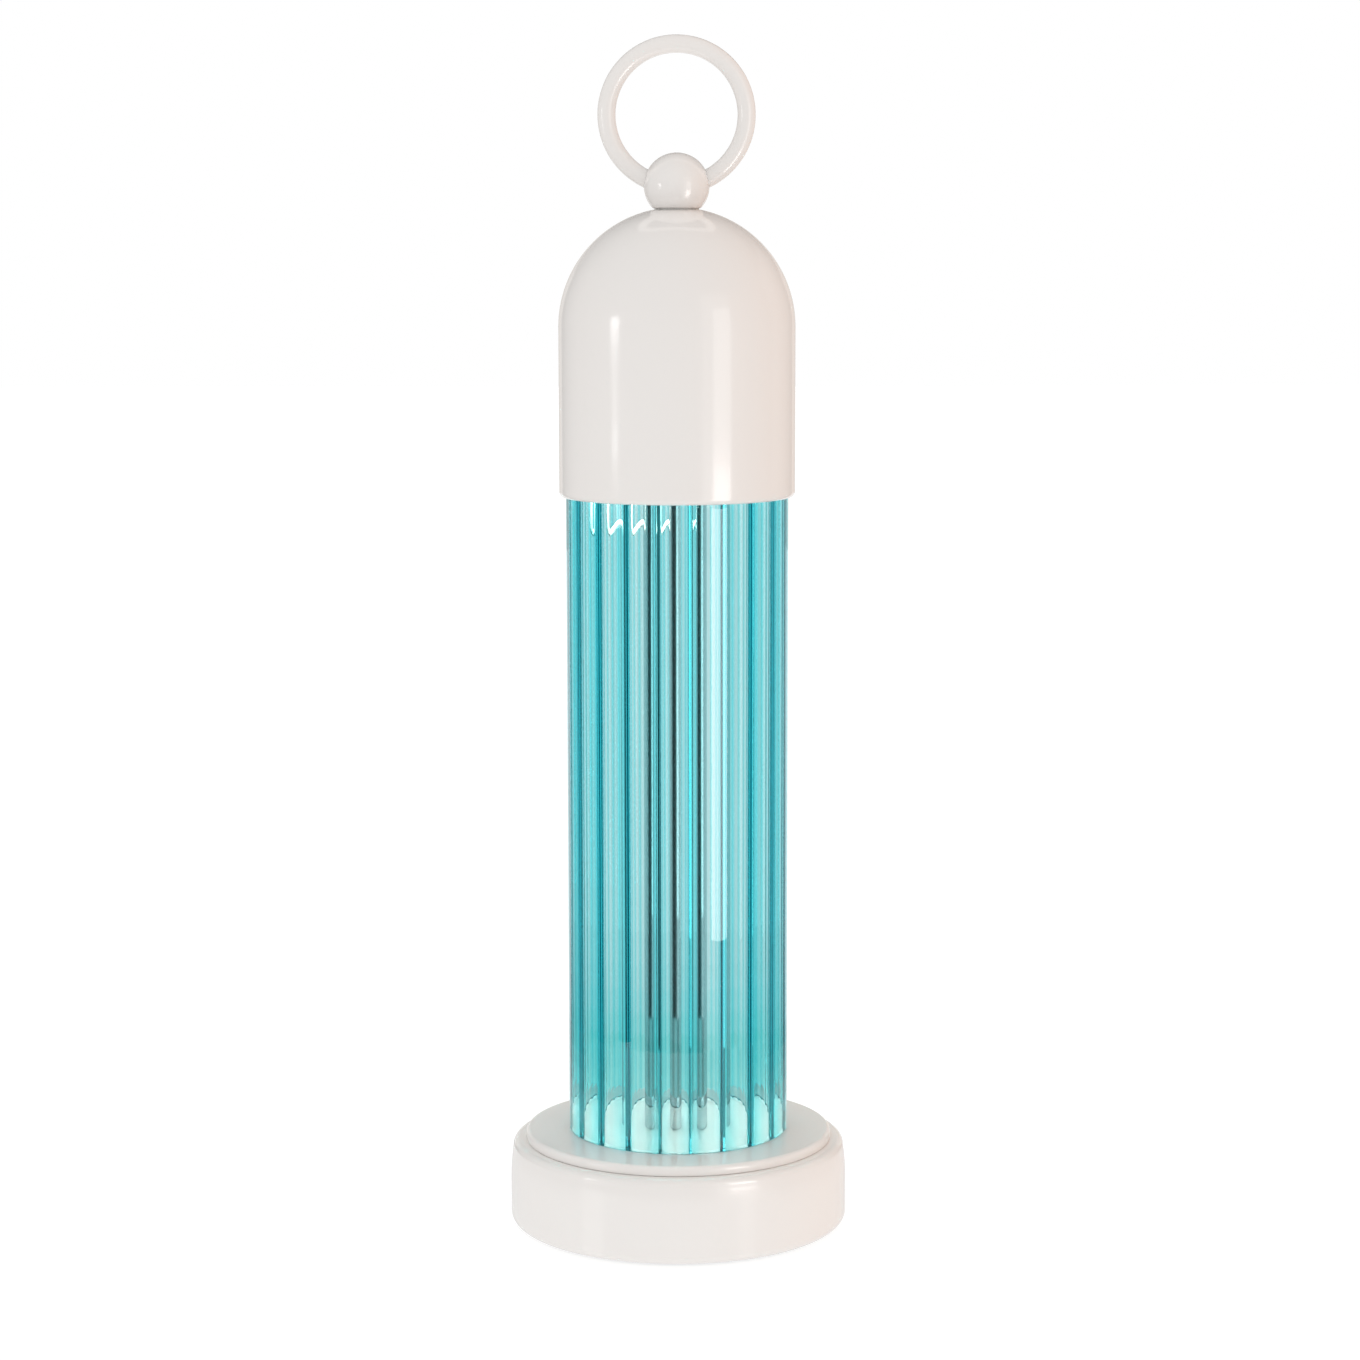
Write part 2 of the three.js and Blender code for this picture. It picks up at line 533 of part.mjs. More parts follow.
function domeShell() {
  const outerStart = THREE.MathUtils.radToDeg(Math.acos(DOME.landR / DOME.r));
  const innerLandR = DOME.landR - 0.2;
  const innerStart = THREE.MathUtils.radToDeg(Math.acos(innerLandR / DOME.inR));
  const innerLandZ = DOME.centreZ + DOME.inR * Math.sin(radians(innerStart));
  return turned([
    point(DOME.rimR, DOME.z0),
    ...arc(DOME.r - DOME.rim, DOME.z0 + DOME.rim, DOME.rim, -60, 0, 2),
    ...arc(0, DOME.centreZ, DOME.r, 0, outerStart, 9),
    point(DOME.holeR, DOME.landZ),
    point(DOME.holeR, innerLandZ),
    ...arc(0, DOME.centreZ, DOME.inR, innerStart, 0, 7),
    point(DOME.inR, DOME.z0 + DOME.rim),
    point(DOME.rimR, DOME.z0 + 0.9),
  ]);
}
add("dome_shell", domeShell(), "lacquer");

const domeUnderside = DOME.centreZ + Math.sqrt(DOME.inR ** 2 - WASHER.r ** 2) - 0.15;
add("dome_washer", flatWasher(domeUnderside - WASHER.h), "zinc");
add("dome_nut", hexNut(domeUnderside - WASHER.h - SEAT - NUT.h), "zinc");

// --- Finial: washer, ball and carrying ring -----------------------------------------------------------

const finialWasherZ = DOME.landZ + SEAT;
const finialWasherTop = finialWasherZ + FINIAL_WASHER.h;
add("finial_washer", tube(FINIAL_WASHER.inR, FINIAL_WASHER.r, finialWasherZ, finialWasherTop), "nylon");

// Part of the ring's circle, in the XZ plane, between two angles from its lowest point.
class RingArc extends THREE.Curve {
  constructor(from, to) {
    super();
    this.from = radians(from);
    this.to = radians(to);
  }

  getPoint(t, target = new THREE.Vector3()) {
    const angle = this.from + (this.to - this.from) * t;
    return target.set(RING.r * Math.sin(angle), 0, RING.centreZ - RING.r * Math.cos(angle));
  }
}

function finialBall() {
  const flatAngle = THREE.MathUtils.radToDeg(Math.asin((BALL.z0 - BALL.centreZ) / BALL.r));
  const ball = turned([
    point(0, BALL.z0),
    ...arc(0, BALL.centreZ, BALL.r, flatAngle, 90, 9).slice(0, -1),
    point(0, BALL.centreZ + BALL.r),
  ], 28);
  const socketEnd = 60;
  const sockets = [-1, 1].map((side) =>
    rod(new RingArc(side * RING.socketAngle, side * socketEnd), RING.socketR, 8, 12));
  return cut(ball, disc(BALL.boreR, BALL.z0 - 1, BALL.boreTop), ...sockets);
}
add("finial_ball", finialBall(), "lacquer");
add("carry_ring", rod(new RingArc(RING.endAngle, 360 - RING.endAngle), RING.rodR, 48, 12), "lacquer");

export default lamp;
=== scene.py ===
import math

import bmesh
import bpy
from mathutils import Matrix, Vector


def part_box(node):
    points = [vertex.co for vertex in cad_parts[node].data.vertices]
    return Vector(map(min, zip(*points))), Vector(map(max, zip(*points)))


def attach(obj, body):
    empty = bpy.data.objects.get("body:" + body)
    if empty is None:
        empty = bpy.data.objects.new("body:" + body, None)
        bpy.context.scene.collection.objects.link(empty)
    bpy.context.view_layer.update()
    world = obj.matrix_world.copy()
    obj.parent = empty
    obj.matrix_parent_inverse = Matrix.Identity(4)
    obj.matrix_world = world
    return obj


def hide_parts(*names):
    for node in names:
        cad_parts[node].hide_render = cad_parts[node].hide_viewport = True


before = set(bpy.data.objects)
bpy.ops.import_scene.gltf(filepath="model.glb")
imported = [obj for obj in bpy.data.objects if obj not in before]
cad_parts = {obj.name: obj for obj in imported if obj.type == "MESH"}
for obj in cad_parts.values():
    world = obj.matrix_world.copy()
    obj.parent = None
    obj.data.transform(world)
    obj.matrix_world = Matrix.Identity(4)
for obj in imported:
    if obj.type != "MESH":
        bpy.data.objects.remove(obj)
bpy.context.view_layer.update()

MM = 0.001
# From this angle between its faces, in degrees, an edge is sharp. A length below TINY counts as nothing.
SHARP = 32.0
TINY = 1e-7
scene = bpy.context.scene


# --- Mesh helpers: every length is in metres -----------------------------------------------------------

def arc(cx, cz, r, start, end, steps):
    """Points on an arc in the (radius, height) plane, from one angle to another in degrees."""
    angles = [math.radians(start + (end - start) * i / steps) for i in range(steps + 1)]
    return [(cx + r * math.cos(a), cz + r * math.sin(a)) for a in angles]


def finished(name, bm, sharp=SHARP):
    """Turns a bmesh into an object whose faces are smooth up to an angle, in degrees, between them."""
    bmesh.ops.remove_doubles(bm, verts=bm.verts, dist=TINY)
    bmesh.ops.dissolve_degenerate(bm, edges=bm.edges, dist=TINY)
    bmesh.ops.recalc_face_normals(bm, faces=bm.faces)
    for face in bm.faces:
        face.smooth = True
    mesh = bpy.data.meshes.new(name)
    bm.to_mesh(mesh)
    bm.free()
    mesh.set_sharp_from_angle(angle=math.radians(sharp))
    obj = bpy.data.objects.new(name, mesh)
    scene.collection.objects.link(obj)
    return obj


def lathe(name, profile, segments=192, closed=False):
    """A profile of (radius, height) turned round the lamp's axis. A closed profile makes a ring."""
    bm = bmesh.new()
    rings = []
    for r, z in profile:
        if r < TINY:
            rings.append([bm.verts.new((0, 0, z))])
            continue
        turn = 2 * math.pi / segments
        angles = [i * turn for i in range(segments)]
        rings.append([bm.verts.new((r * math.cos(a), r * math.sin(a), z)) for a in angles])
    pairs = list(zip(rings, rings[1:]))
    if closed:
        pairs.append((rings[-1], rings[0]))
    for low, high in pairs:
        for i in range(segments):
            j = (i + 1) % segments
            corners = [low[i % len(low)], low[j % len(low)], high[j % len(high)], high[i % len(high)]]
            unique = list(dict.fromkeys(corners))
            if len(unique) > 2:
                bm.faces.new(unique)
    return finished(name, bm)


def cut(obj, *tools, sharp=SHARP):
    """Subtracts the tools from obj, then removes them."""
    for tool in tools:
        modifier = obj.modifiers.new("cut", "BOOLEAN")
        modifier.operation = "DIFFERENCE"
        modifier.solver = "EXACT"
        modifier.object = tool
    bpy.context.view_layer.update()
    evaluated = obj.evaluated_get(bpy.context.evaluated_depsgraph_get())
    mesh = bpy.data.meshes.new_from_object(evaluated)
    obj.modifiers.clear()
    old = obj.data
    obj.data = mesh
    bpy.data.meshes.remove(old)
    for tool in tools:
        bpy.data.objects.remove(tool)
    for polygon in mesh.polygons:
        polygon.use_smooth = True
    mesh.set_sharp_from_angle(angle=math.radians(sharp))
    return obj


def tube_along(name, points, r, sides):
    """A round rod with flat ends, along points that lie in the XZ plane or near it."""
    bm = bmesh.new()
    rings = []
    for i, p in enumerate(points):
        before, after = points[max(i - 1, 0)], points[min(i + 1, len(points) - 1)]
        along = (after - before).normalized()
        across = Vector((0, 1, 0))
        up = along.cross(across).normalized()
        turn = 2 * math.pi / sides
        angles = [k * turn for k in range(sides)]
        rings.append([bm.verts.new(p + r * (math.cos(a) * across + math.sin(a) * up)) for a in angles])
    for a, b in zip(rings, rings[1:]):
        for k in range(sides):
            j = (k + 1) % sides
            bm.faces.new((a[k], a[j], b[j], b[k]))
    bm.faces.new(rings[0])
    bm.faces.new(rings[-1])
    return finished(name, bm, 50.0)


def ring_arc(radius, centre_z, start, end, steps):
    """Points on the carrying ring's centreline, by angle from its lowest point."""
    angles = [math.radians(start + (end - start) * i / steps) for i in range(steps + 1)]
    return [Vector((radius * math.sin(a), 0, centre_z - radius * math.cos(a))) for a in angles]


def catmull_rom(before, start, end, after, steps):
    """Points from start up to end on a centripetal spline through all four."""
    knots = [0.0]
    for a, b in ((before, start), (start, end), (end, after)):
        knots.append(knots[-1] + max(math.sqrt((b - a).length), 1e-6))
    t0, t1, t2, t3 = knots
    points = []
    for k in range(steps):
        t = t1 + (t2 - t1) * k / steps
        a1 = ((t1 - t) * before + (t - t0) * start) / (t1 - t0)
        a2 = ((t2 - t) * start + (t - t1) * end) / (t2 - t1)
        a3 = ((t3 - t) * end + (t - t2) * after) / (t3 - t2)
        b1 = ((t2 - t) * a1 + (t - t0) * a2) / (t2 - t0)
        b2 = ((t3 - t) * a2 + (t - t1) * a3) / (t3 - t1)
        points.append(((t2 - t) * b1 + (t - t1) * b2) / (t2 - t1))
    return points


def bevelled(obj, width, segments=3):
    """Rounds an object's sharp edges with a modifier, which leaves its mesh as it is."""
    modifier = obj.modifiers.new("edges", "BEVEL")
    modifier.width = width
    modifier.segments = segments
    modifier.limit_method = "ANGLE"
    modifier.angle_limit = math.radians(35)
    modifier.harden_normals = True
    return obj


# --- Materials -----------------------------------------------------------------------------------------

class Nodes:
    """A material's node tree, with its Principled shader and a position in metres to feed the textures."""

    def __init__(self, name):
        self.material = bpy.data.materials.new(name)
        self.material.use_nodes = True
        self.tree = self.material.node_tree
        self.shader = self.tree.nodes["Principled BSDF"]
        self.output = self.tree.nodes["Material Output"]
        self.position = self.add("ShaderNodeTexCoord").outputs["Object"]

    def add(self, kind, **settings):
        node = self.tree.nodes.new(kind)
        for key, value in settings.items():
            setattr(node, key, value)
        return node

    def link(self, a, b):
        self.tree.links.new(a, b)

    def stretched(self, x, y, z):
        mapping = self.add("ShaderNodeMapping")
        mapping.inputs["Scale"].default_value = (x, y, z)
        self.link(self.position, mapping.inputs["Vector"])
        return mapping.outputs["Vector"]

    def noise(self, scale, detail=3.0, source=None):
        node = self.add("ShaderNodeTexNoise")
        node.inputs["Scale"].default_value = scale
        node.inputs["Detail"].default_value = detail
        self.link(source or self.position, node.inputs["Vector"])
        return node.outputs["Fac"]

    def ranged(self, value, low, high, from_low=0.3, from_high=0.7):
        node = self.add("ShaderNodeMapRange")
        node.inputs["From Min"].default_value = from_low
        node.inputs["From Max"].default_value = from_high
        node.inputs["To Min"].default_value = low
        node.inputs["To Max"].default_value = high
        self.link(value, node.inputs["Value"])
        return node.outputs["Result"]

    def blend(self, value, a, b, from_low=0.3, from_high=0.7):
        node = self.add("ShaderNodeValToRGB")
        node.color_ramp.elements[0].position = from_low
        node.color_ramp.elements[0].color = (*a, 1)
        node.color_ramp.elements[1].position = from_high
        node.color_ramp.elements[1].color = (*b, 1)
        self.link(value, node.inputs["Fac"])
        return node.outputs["Color"]

    def bump(self, height, distance, strength=1.0):
        node = self.add("ShaderNodeBump")
        node.inputs["Strength"].default_value = strength
        node.inputs["Distance"].default_value = distance
        self.link(height, node.inputs["Height"])
        self.link(node.outputs["Normal"], self.shader.inputs["Normal"])


def surface(name, dark, light, rough, scale, metallic=0.0, grain=0.0, grain_scale=900.0, stretch=None,
            **sockets):
    """A procedural surface: its colour and roughness wander a little, and it has a fine grain.

    The scales are those of its noises, and grain is how deep its bumps are in metres.
    """
    n = Nodes(name)
    source = n.stretched(*stretch) if stretch else None
    n.link(n.blend(n.noise(scale, 4.0, source), dark, light), n.shader.inputs["Base Color"])
    n.link(n.ranged(n.noise(scale * 2.3, 3.0, source), *rough), n.shader.inputs["Roughness"])
    n.shader.inputs["Metallic"].default_value = metallic
    if grain:
        n.bump(n.noise(grain_scale, 2.0, source), grain)
    for socket, value in sockets.items():
        n.shader.inputs[socket.replace("_", " ")].default_value = value
    return n.material


def glass_material():
    """Clear aqua glass. Its tint is in the depth of the glass."""
    n = Nodes("aqua_glass")
    shader = n.shader
    shader.inputs["Base Color"].default_value = (1, 1, 1, 1)
    shader.inputs["Transmission Weight"].default_value = 1.0
    shader.inputs["Roughness"].default_value = 0.0
    shader.inputs["IOR"].default_value = 1.5
    volume = n.add("ShaderNodeVolumeAbsorption")
    volume.inputs["Color"].default_value = (0.0, 0.88, 0.925, 1)
    volume.inputs["Density"].default_value = 370
    n.link(volume.outputs["Volume"], n.output.inputs["Volume"])
    return n.material


CREAM = ((0.805, 0.775, 0.75), (0.83, 0.8, 0.775))
LACQUER = surface("cream_lacquer", *CREAM, (0.1, 0.15), 9.0, grain=6e-7, grain_scale=350.0,
                  Coat_Weight=0.15, Coat_Roughness=0.03)
GLASS = glass_material()
STEEL = surface("polished_steel", (0.56, 0.57, 0.58), (0.66, 0.67, 0.68), (0.02, 0.05), 60.0, 1.0, 1e-6,
                1500.0, (1, 1, 0.08))
ZINC = surface("zinc_plate", (0.46, 0.47, 0.49), (0.62, 0.63, 0.64), (0.28, 0.42), 260.0, 1.0, 6e-6)
ALUMINIUM = surface("blasted_aluminium", (0.6, 0.61, 0.62), (0.7, 0.71, 0.72), (0.35, 0.5), 180.0, 1.0,
                    2e-5, 2600.0)
SILICONE = surface("silicone", (0.62, 0.66, 0.65), (0.74, 0.77, 0.76), (0.5, 0.62), 120.0, grain=1e-5)
FEED_WHITE = surface("white_lead", (0.8, 0.8, 0.79), (0.88, 0.88, 0.87), (0.4, 0.52), 160.0, grain=1e-5)
RUBBER = surface("foot_rubber", (0.012, 0.012, 0.013), (0.03, 0.03, 0.032), (0.7, 0.88), 300.0, grain=3e-5,
                 grain_scale=1800.0)
PANEL = surface("panel_plastic", (0.72, 0.69, 0.66), (0.77, 0.745, 0.715), (0.38, 0.5), 150.0, grain=1.5e-5,
                grain_scale=2600.0)
BLACK = surface("black_plastic", (0.012, 0.012, 0.014), (0.026, 0.026, 0.028), (0.42, 0.58), 220.0,
                grain=1e-5, grain_scale=2200.0)
WHITE_MASK = surface("white_mask", (0.8, 0.8, 0.78), (0.86, 0.86, 0.84), (0.3, 0.42), 160.0, grain=8e-6)
PHOSPHOR = surface("phosphor", (0.78, 0.56, 0.13), (0.9, 0.7, 0.22), (0.35, 0.5), 900.0, grain=1e-5,
                   grain_scale=3000.0)
OPAL = surface("opal_diffuser", (0.84, 0.85, 0.84), (0.9, 0.9, 0.89), (0.45, 0.6), 140.0, grain=1e-5,
               grain_scale=2400.0, Emission_Color=(1.0, 0.95, 0.86, 1), Emission_Strength=68.0)
CHARGE_LENS = surface("charge_lens", (0.7, 0.72, 0.7), (0.8, 0.81, 0.79), (0.25, 0.4), 200.0, grain=8e-6,
                      Emission_Color=(0.75, 1.0, 0.8, 1), Emission_Strength=0.5)
NICKEL = surface("nickel_plate", (0.6, 0.59, 0.56), (0.7, 0.69, 0.66), (0.16, 0.28), 420.0, 1.0, 3e-6,
                 1600.0)
NYLON = surface("nylon", (0.62, 0.61, 0.58), (0.7, 0.69, 0.66), (0.45, 0.6), 200.0, grain=1e-5)
RED = surface("red_insulation", (0.36, 0.02, 0.015), (0.46, 0.035, 0.025), (0.35, 0.5), 260.0, grain=1e-5)
BLACK_WIRE = surface("black_insulation", (0.012, 0.012, 0.013), (0.024, 0.024, 0.026), (0.35, 0.5), 260.0,
                     grain=1e-5)
POWDER = surface("powder_coat", (0.035, 0.035, 0.038), (0.055, 0.055, 0.058), (0.5, 0.66), 120.0,
                 grain=6e-5, grain_scale=1500.0)
WRAP = surface("cell_wrap", (0.03, 0.13, 0.36), (0.045, 0.17, 0.44), (0.28, 0.4), 80.0, grain=1e-5)


def board_material():
    """Green solder mask with fine tracks under it."""
    n = Nodes("green_board")
    tracks = n.add("ShaderNodeTexBrick")
    tracks.inputs["Scale"].default_value = 260
    tracks.inputs["Mortar Size"].default_value = 0.03
    tracks.inputs["Color1"].default_value = (0.008, 0.075, 0.035, 1)
    tracks.inputs["Color2"].default_value = (0.012, 0.095, 0.045, 1)
    tracks.inputs["Mortar"].default_value = (0.03, 0.16, 0.075, 1)
    n.link(n.position, tracks.inputs["Vector"])
    n.link(tracks.outputs["Color"], n.shader.inputs["Base Color"])
    n.link(n.ranged(n.noise(400.0), 0.25, 0.4), n.shader.inputs["Roughness"])
    n.bump(tracks.outputs["Fac"], 2e-5)
    return n.material


BOARD = board_material()


def dress(node, material):
    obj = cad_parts[node]
    obj.data.materials.clear()
    obj.data.materials.append(material)
    return obj


def piece(obj, body, material, slot, *nodes):
    """Gives a new piece its material and its body, and hides the CAD nodes that it stands for."""
    obj.data.materials.clear()
    obj.data.materials.append(material)
    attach(obj, body)
    if nodes:
        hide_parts(*nodes)
    return obj


# --- Base ----------------------------------------------------------------------------------------------

drum_low, drum_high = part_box("base_drum")
DRUM_R = drum_high.x
DRUM_TOP = drum_high.z
DRUM_Z0 = drum_low.z
WALL = 2.4 * MM
LIP_R = 49.6 * MM
LIP_TOP = 5.3 * MM
TOE = 3.2 * MM
SHOULDER = 2.4 * MM
LEAN = 0.8 * MM
LEAN_FROM = 15 * MM
ROOF = 2.6 * MM
PIPE_HOLE_R = 4.3 * MM
PANEL_Z = 15.5 * MM
WINDOW_W, WINDOW_H, WINDOW_CORNER = 34.6 * MM, 13.6 * MM, 1.2 * MM
WINDOW_Y0, WINDOW_Y1 = 44 * MM, 60 * MM
LIP_EDGE = 0.3 * MM


def rounded_box(name, width, height, corner, y0, y1, centre_z, steps=8):
    """A box along Y whose outline in XZ has round corners."""
    outline = []
    for sx, sz, start in ((1, 1, 0), (-1, 1, 90), (-1, -1, 180), (1, -1, 270)):
        cx = sx * (width / 2 - corner)
        cz = centre_z + sz * (height / 2 - corner)
        outline += arc(cx, cz, corner, start, start + 90, steps)
    bm = bmesh.new()
    near = [bm.verts.new((x, y0, z)) for x, z in outline]
    far = [bm.verts.new((x, y1, z)) for x, z in outline]
    count = len(outline)
    for i in range(count):
        j = (i + 1) % count
        bm.faces.new((near[i], near[j], far[j], far[i]))
    bm.faces.new(near)
    bm.faces.new(far)
    return finished(name, bm)


def soften_rim(obj, width, on_rim, segments=3):
    """Rounds the sharp edges that on_rim picks."""
    bm = bmesh.new()
    bm.from_mesh(obj.data)
    rim = [e for e in bm.edges if len(e.link_faces) == 2 and on_rim(e)]
    bmesh.ops.bevel(bm, geom=rim, offset=width, segments=segments, profile=0.5, affect="EDGES",
                    clamp_overlap=True)
    for face in bm.faces:
        face.smooth = True
    bm.to_mesh(obj.data)
    bm.free()
    obj.data.set_sharp_from_angle(angle=math.radians(40))


def make_drum():
    toe_r = DRUM_R - TOE
    shoulder_z = DRUM_TOP - SHOULDER
    lean = [i / 10 for i in range(11)]
    side = [(DRUM_R - LEAN * s * s, LEAN_FROM + s * (shoulder_z - LEAN_FROM)) for s in lean]
    shoulder_r = DRUM_R - LEAN - SHOULDER
    in_r, in_top = DRUM_R - WALL, DRUM_TOP - ROOF
    profile = [(LIP_R, DRUM_Z0 + LIP_EDGE), (LIP_R + LIP_EDGE, DRUM_Z0)]
    profile += arc(toe_r, DRUM_Z0 + TOE, TOE, -90, 0, 14)
    profile += side
    profile += arc(shoulder_r, shoulder_z, SHOULDER, 6, 90, 12)
    profile += [(PIPE_HOLE_R, DRUM_TOP), (PIPE_HOLE_R, in_top), (in_r - MM, in_top), (in_r, in_top - MM)]
    profile += [(in_r, LIP_TOP), (LIP_R, LIP_TOP)]
    drum = lathe("drum_shell", profile, 256, closed=True)
    window = rounded_box("window", WINDOW_W, WINDOW_H, WINDOW_CORNER, WINDOW_Y0, WINDOW_Y1, PANEL_Z)
    cut(drum, window)
    margin = 0.2 * MM
    half_w, half_h = WINDOW_W / 2 + margin, WINDOW_H / 2 + margin

    def on_rim(edge):
        """Whether an edge is where the window meets the drum's side."""
        ends = [v.co for v in edge.verts]
        inside = all(abs(p.x) < half_w and abs(p.z - PANEL_Z) < half_h and p.y > 0 for p in ends)
        outer = all(math.hypot(p.x, p.y) > DRUM_R - LEAN - 0.5 * MM for p in ends)
        return inside and outer and edge.calc_face_angle(0) > math.radians(40)

    soften_rim(drum, 0.35 * MM, on_rim)
    return drum


piece(make_drum(), "lamp", LACQUER, "lacquer", "base_drum")


def make_plate():
    low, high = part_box("top_plate")
    r, z0, top = high.x, low.z, high.z
    edge, foot_edge = 1.6 * MM, 0.3 * MM
    groove_in, groove_out, groove_z = 31.55 * MM, 34.65 * MM, top - 1.2 * MM
    profile = [(PIPE_HOLE_R, z0)] + arc(r - foot_edge, z0 + foot_edge, foot_edge, -90, 0, 3)
    profile += arc(r - edge, top - edge, edge, 0, 90, 10)
    profile += [(groove_out, top), (groove_out, groove_z), (groove_in, groove_z), (groove_in, top)]
    profile += [(PIPE_HOLE_R, top)]
    return lathe("plate_disc", profile, 256, closed=True)


piece(make_plate(), "lamp", LACQUER, "lacquer", "top_plate")


def make_cover():
    low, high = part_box("ballast_plate")
    r, bevel = high.x, 0.5 * MM
    profile = [(0, low.z)] + arc(r - bevel, low.z + bevel, bevel, -90, 0, 4)
    profile += [(r, high.z), (0, high.z)]
    cover = lathe("bottom_cover", profile)
    hole_r, depth = 1.6 * MM, 9 * MM
    holes = []
    for i in range(3):
        screw_low, screw_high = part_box(f"cover_screw_{i + 1}")
        centre = (screw_low + screw_high) / 2
        hole = lathe(f"hole_{i}", [(0, 0), (hole_r, 0), (hole_r, depth), (0, depth)], 32)
        hole.data.transform(Matrix.Translation((centre.x, centre.y, 0)))
        holes.append(hole)
    return cut(cover, *holes)


piece(make_cover(), "lamp", POWDER, "ballast_steel", "ballast_plate")


def make_foot(i):
    low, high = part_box(f"foot_pad_{i}")
    r, top = (high.x - low.x) / 2, high.z
    edge, groove = 0.5 * MM, 0.25 * MM
    # The sole, from its hollow middle out: a tread, a groove, and the tread that ends at the rim.
    profile = [(0, groove), (1.2 * MM, groove), (1.35 * MM, 0), (2.2 * MM, 0), (2.35 * MM, groove)]
    profile += [(3.2 * MM, groove), (3.35 * MM, 0)]
    profile += arc(r - edge, edge, edge, -90, 0, 5)
    profile += [(r - 0.1 * MM, top - 0.1 * MM), (r - 0.3 * MM, top), (0, top)]
    foot = lathe(f"foot_{i}", profile, 64)
    centre = (low + high) / 2
    foot.data.transform(Matrix.Translation((centre.x, centre.y, 0)))
    return foot


for number in range(1, 5):
    piece(make_foot(number), "lamp", RUBBER, "foot_rubber", f"foot_pad_{number}")


# --- Column and stem -----------------------------------------------------------------------------------

FLUTES = 19
RIDGE_R, FLUTE_R = 32.15 * MM, 34.6 * MM
RIDGE_ROUND = 0.12 * MM
# An extra ring this far from each rounded corner keeps the corner from bending the whole wall's normals.
GUARD = 0.15 * MM
FLUTE_TURN = math.radians(-1.7)


def flute_outline(steps=22):
    """The bore's outline in XY: an arc for each flute, and a small rounding on each ridge."""
    pitch = 2 * math.pi / FLUTES
    half_chord = RIDGE_R * math.sin(pitch / 2)
    depth = FLUTE_R - RIDGE_R * math.cos(pitch / 2)
    arc_r = (half_chord ** 2 + depth ** 2) / (2 * depth)
    half_arc = math.asin(half_chord / arc_r)
    centre = FLUTE_R - arc_r
    trimmed = half_arc - RIDGE_ROUND / arc_r
    points = []
    for i in range(FLUTES):
        turn = i * pitch - math.pi / 2 + FLUTE_TURN
        cx, cy = centre * math.cos(turn), centre * math.sin(turn)
        for k in range(steps + 1):
            a = turn - trimmed + 2 * trimmed * k / steps
            points.append((cx + arc_r * math.cos(a), cy + arc_r * math.sin(a)))
    return points


def make_column():
    low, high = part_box("fluted_column")
    r, z0, z1 = high.x, low.z, high.z
    inner = flute_outline()
    count = len(inner)
    outer_angles = [math.atan2(y, x) for x, y in inner]
    edge = 0.4 * MM
    bm = bmesh.new()

    def ring(radius, z):
        return [bm.verts.new((radius * math.cos(a), radius * math.sin(a), z)) for a in outer_angles]

    def bore(z):
        return [bm.verts.new((x, y, z)) for x, y in inner]

    corner = arc(r - edge, z0 + edge, edge, -90, 0, 4) + [(r, z0 + edge + GUARD)]
    top_corner = [(r, z1 - edge - GUARD)] + arc(r - edge, z1 - edge, edge, 0, 90, 4)
    rings = [bore(z0)] + [ring(p, z) for p, z in corner + top_corner] + [bore(z1)]
    rings.append(rings[0])
    for a, b in zip(rings, rings[1:]):
        for i in range(count):
            j = (i + 1) % count
            bm.faces.new((a[i], a[j], b[j], b[i]))
    return finished("glass_column", bm, 48.0)


piece(make_column(), "lamp", GLASS, "glass", "fluted_column")


def make_stem():
    low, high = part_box("stem_sleeve")
    r, bore, edge = high.x, 4.3 * MM, 0.25 * MM
    profile = [(bore, low.z)] + arc(r - edge, low.z + edge, edge, -90, 0, 4) + [(r, low.z + edge + GUARD)]
    profile += [(r, high.z - edge - GUARD)]
    profile += arc(r - edge, high.z - edge, edge, 0, 90, 4) + [(bore, high.z)]
    return lathe("stem_tube", profile, 128, closed=True)


piece(make_stem(), "lamp", STEEL, "stem_steel", "stem_sleeve")


def make_feed_lead():
    """The white lead from the stem up to the diffuser, as a smooth curve through the CAD lead's turns."""
    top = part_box("feed_lead")[1].z
    r = 1.0 * MM
    turns = [(-6.6, 1.3, 227.6), (-9.5, 1.8, 227.2), (-13.8, 0.6, 225.7), (-17.6, -1.4, 224.7),
             (-19.4, -2.6, 225.9), (-19.8, -2.9, 229), (-19.8, -2.9, 235)]
    turns = [Vector(turn) * MM for turn in turns] + [Vector((-19.8 * MM, -2.9 * MM, top))]
    points = []
    for i in range(len(turns) - 1):
        quad = [turns[max(i - 1, 0)], turns[i], turns[i + 1], turns[min(i + 2, len(turns) - 1)]]
        points += catmull_rom(*quad, 8)
    return tube_along("feed_sleeve", points + [turns[-1]], r, 24)


piece(make_feed_lead(), "lamp", FEED_WHITE, "silicone", "feed_lead")


# --- Dome, ball and ring -------------------------------------------------------------------------------

def make_dome():
    low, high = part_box("dome_shell")
    r, z0, land_z = high.x, low.z, high.z
    land_r, rim, wall, hole_r = 7.5 * MM, 1.8 * MM, 1.2 * MM, 4.4 * MM
    lip_in, lip_up = 0.55 * MM, 0.3 * MM
    centre = land_z - math.sqrt(r * r - land_r * land_r)
    in_r = r - wall
    outer_end = math.degrees(math.acos(land_r / r))
    inner_end = math.degrees(math.acos((land_r - 0.2 * MM) / in_r))
    inner_land = centre + in_r * math.sin(math.radians(inner_end))
    profile = [(in_r - lip_in, z0 + lip_up), (r - rim, z0)]
    profile += arc(r - rim, z0 + rim, rim, -80, 0, 12)
    profile += arc(0, centre, r, 0, outer_end, 72)
    profile += [(hole_r, land_z), (hole_r, inner_land)]
    profile += arc(0, centre, in_r, inner_end, 0, 40)
    profile += [(in_r, z0 + rim)]
    return lathe("dome_cap", profile, 288, closed=True)


